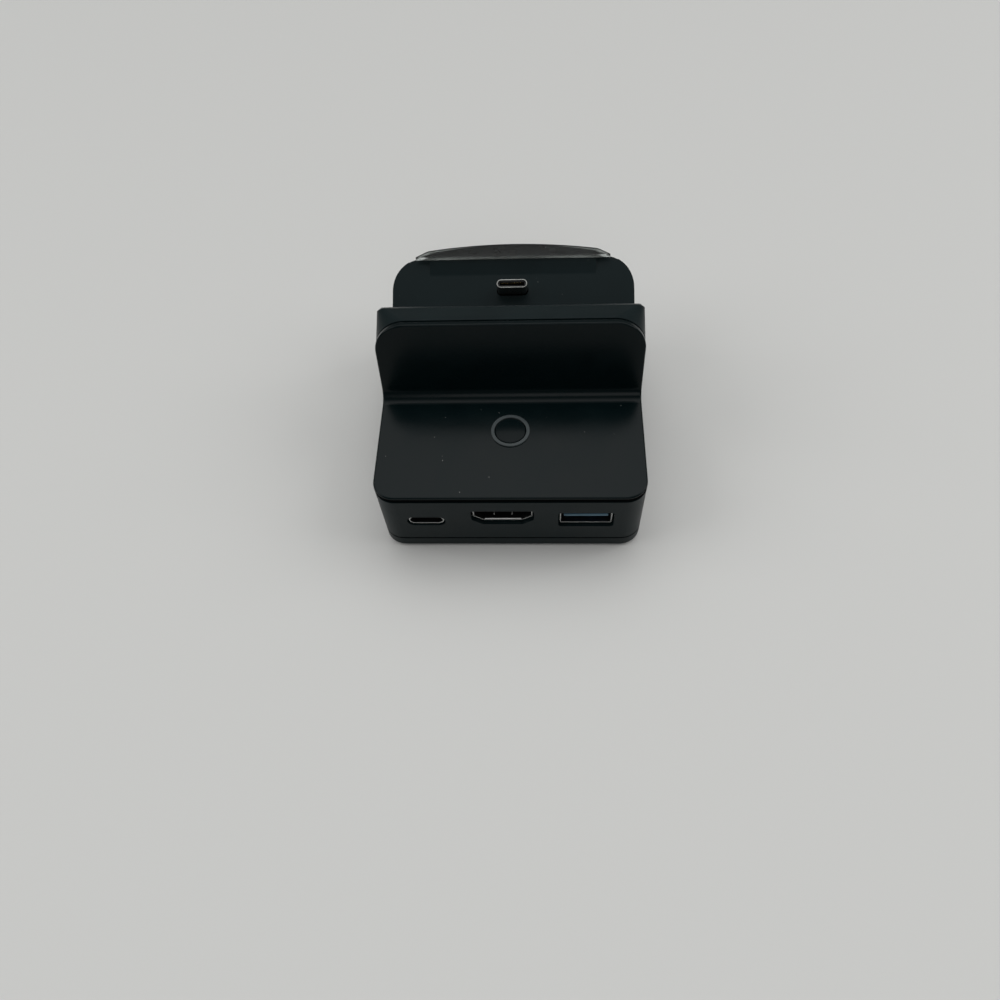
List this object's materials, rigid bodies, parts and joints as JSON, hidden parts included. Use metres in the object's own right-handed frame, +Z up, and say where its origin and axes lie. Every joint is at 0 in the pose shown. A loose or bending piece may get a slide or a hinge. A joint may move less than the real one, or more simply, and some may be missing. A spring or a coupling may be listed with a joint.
{
  "type": "handheld console dock",
  "caption": "Compact black dock with a leaning console slot and oval plug, a ledge with a push button, and power, video and data sockets across its port face.",
  "frame": {"origin": "middle of the footprint, on the table under the rubber feet", "axes": "+Z up, -Y out of the port face, +X to the right seen from the port side"},
  "size_m": [0.0674, 0.0762, 0.0457],
  "materials": {
    "shell_plastic": "fine satin moulded black",
    "cover_plastic": "semi-gloss moulded black",
    "clear_silicone": "translucent soft silicone",
    "foot_rubber": "matt black rubber",
    "screw_steel": "black oxide",
    "ring_plastic": "satin dark grey",
    "cap_plastic": "satin black",
    "key_plastic": "moulded black",
    "board_laminate": "solder-masked laminate",
    "plated_steel": "bright nickel plate",
    "black_insulator": "moulded black",
    "blue_insulator": "moulded blue",
    "gilt_contact": "gilt plate",
    "sleeve_plastic": "satin black",
    "ribbon_film": "white film",
    "ribbon_socket_plastic": "cream moulded",
    "chip_resin": "matt black resin",
    "coil_ferrite": "grey ferrite",
    "capacitor_can": "bright can"
  },
  "bodies": {
    "dock": {"base_plate": "shell_plastic", "main_housing": "shell_plastic", "top_cover": "cover_plastic", "cradle": "shell_plastic", "clear_bumper": "clear_silicone", "rubber_feet": "foot_rubber", "case_screws": "screw_steel", "board_screws": "screw_steel", "plug_board_screws": "screw_steel", "button_ring": "ring_plastic", "key_switch": "key_plastic", "main_board": "board_laminate", "plug_board": "board_laminate", "power_socket_shell": "plated_steel", "video_socket_shell": "plated_steel", "data_socket_shell": "plated_steel", "console_plug_shell": "plated_steel", "power_socket_tongue": "black_insulator", "video_socket_tongue": "black_insulator", "data_socket_tongue": "blue_insulator", "video_socket_contacts": "gilt_contact", "data_socket_contacts": "gilt_contact", "console_plug_core": "black_insulator", "plug_sleeve": "sleeve_plastic", "ribbon_cable": "ribbon_film", "board_ribbon_socket": "ribbon_socket_plastic", "plug_ribbon_socket": "ribbon_socket_plastic", "video_chip": "chip_resin", "power_chip": "chip_resin", "choke_coil": "coil_ferrite", "board_capacitors": "capacitor_can"},
    "button": {"button_cap": "cap_plastic", "key_plunger": "key_plastic"}
  },
  "joints": [
    {"name": "button_press", "type": "slide", "parent": "dock", "child": "button", "axis": [0, 0, -1], "range_m": [0, 0.0004], "stiffness_N_per_m": 2000}
  ]
}
